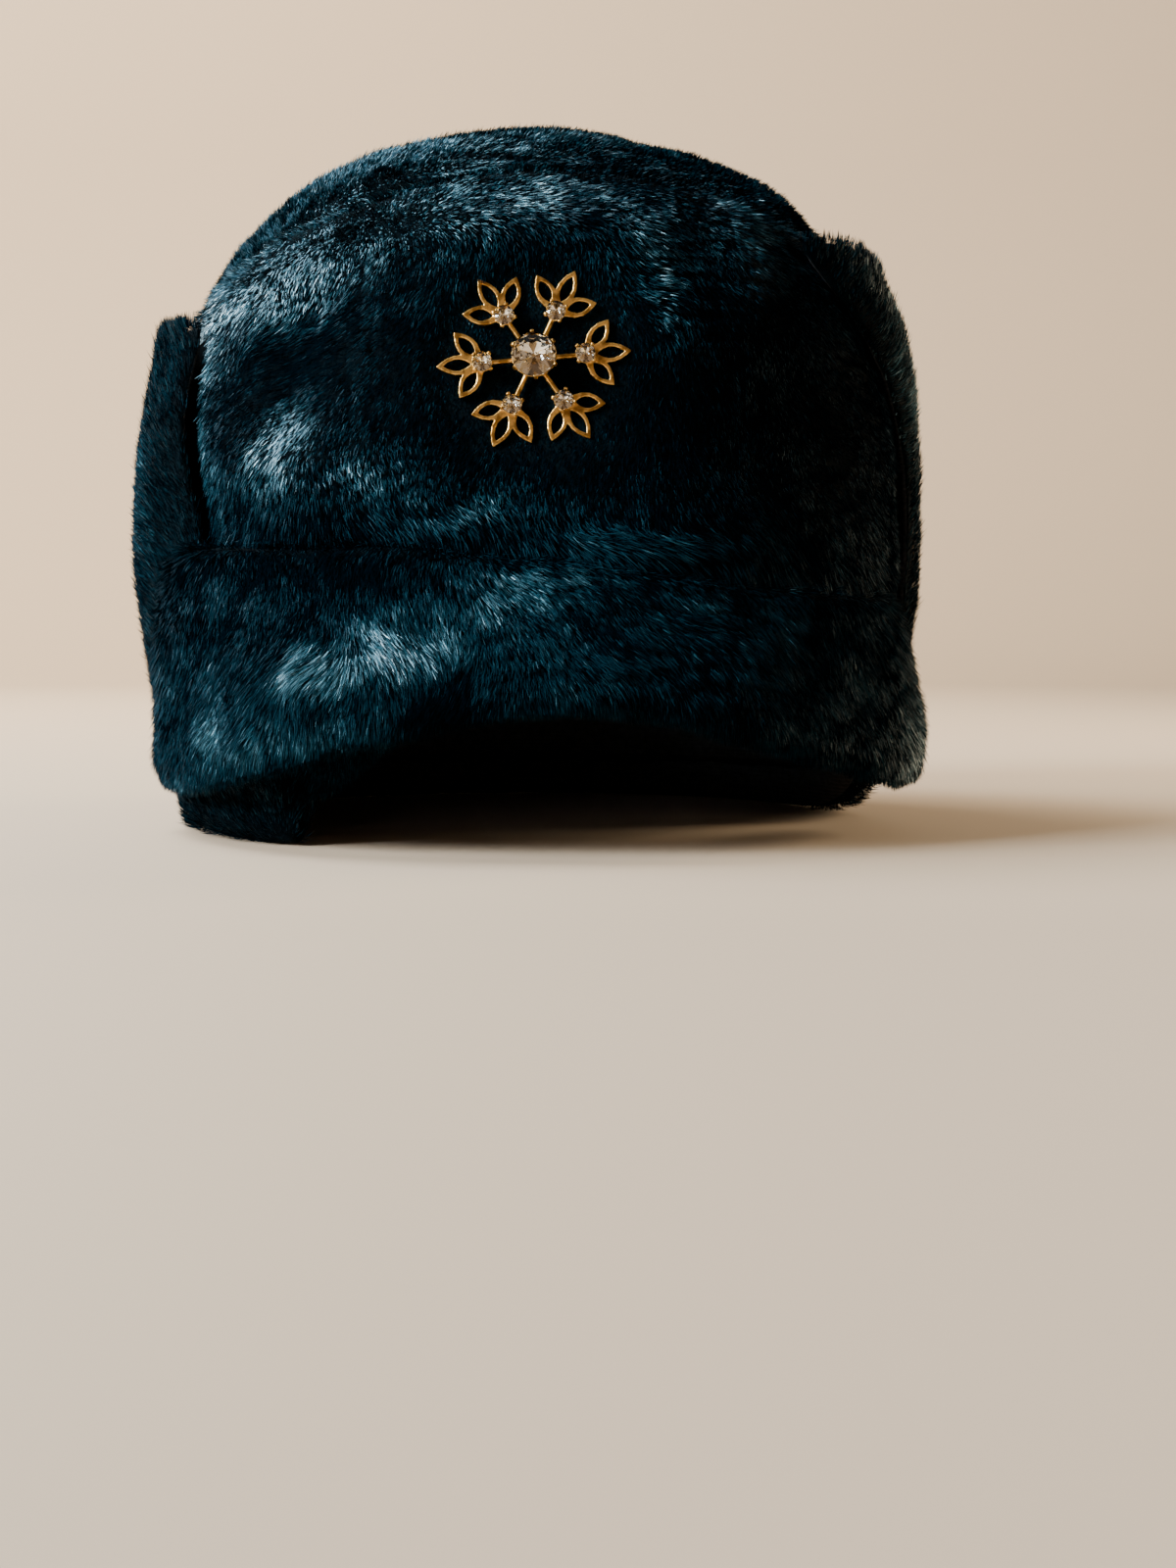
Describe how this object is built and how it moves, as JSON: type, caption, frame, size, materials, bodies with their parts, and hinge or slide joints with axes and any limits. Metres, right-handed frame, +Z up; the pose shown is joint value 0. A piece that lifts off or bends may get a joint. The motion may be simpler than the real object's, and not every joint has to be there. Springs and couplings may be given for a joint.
{
  "type": "plush pillbox hat with a snowflake brooch",
  "caption": "Soft plush hat with a domed crown, a turned-down front brim, a tall turned-up cuff round the sides and back, and an openwork snowflake brooch set with cut stones.",
  "frame": {"origin": "middle of the hat's box, on the surface that the hat rests on", "axes": "+Z up through the crown, -Y out of the front over the brim and brooch, +X to the right as seen from the front"},
  "size_m": [0.2214, 0.2358, 0.188],
  "materials": {
    "plush": "short lustrous pile, dark teal to black, with cool sheen where it is brushed",
    "gilt": "worn antique gilt",
    "rhinestone": "faceted, foil backed, faintly warm"
  },
  "bodies": {
    "root": {"crown_side": "plush", "crown_tip": "plush", "back_cuff": "plush", "front_brim": "plush", "brooch_frame": "gilt", "centre_stone": "rhinestone", "small_stone_1": "rhinestone", "small_stone_2": "rhinestone", "small_stone_3": "rhinestone", "small_stone_4": "rhinestone", "small_stone_5": "rhinestone", "small_stone_6": "rhinestone"}
  },
  "joints": []
}
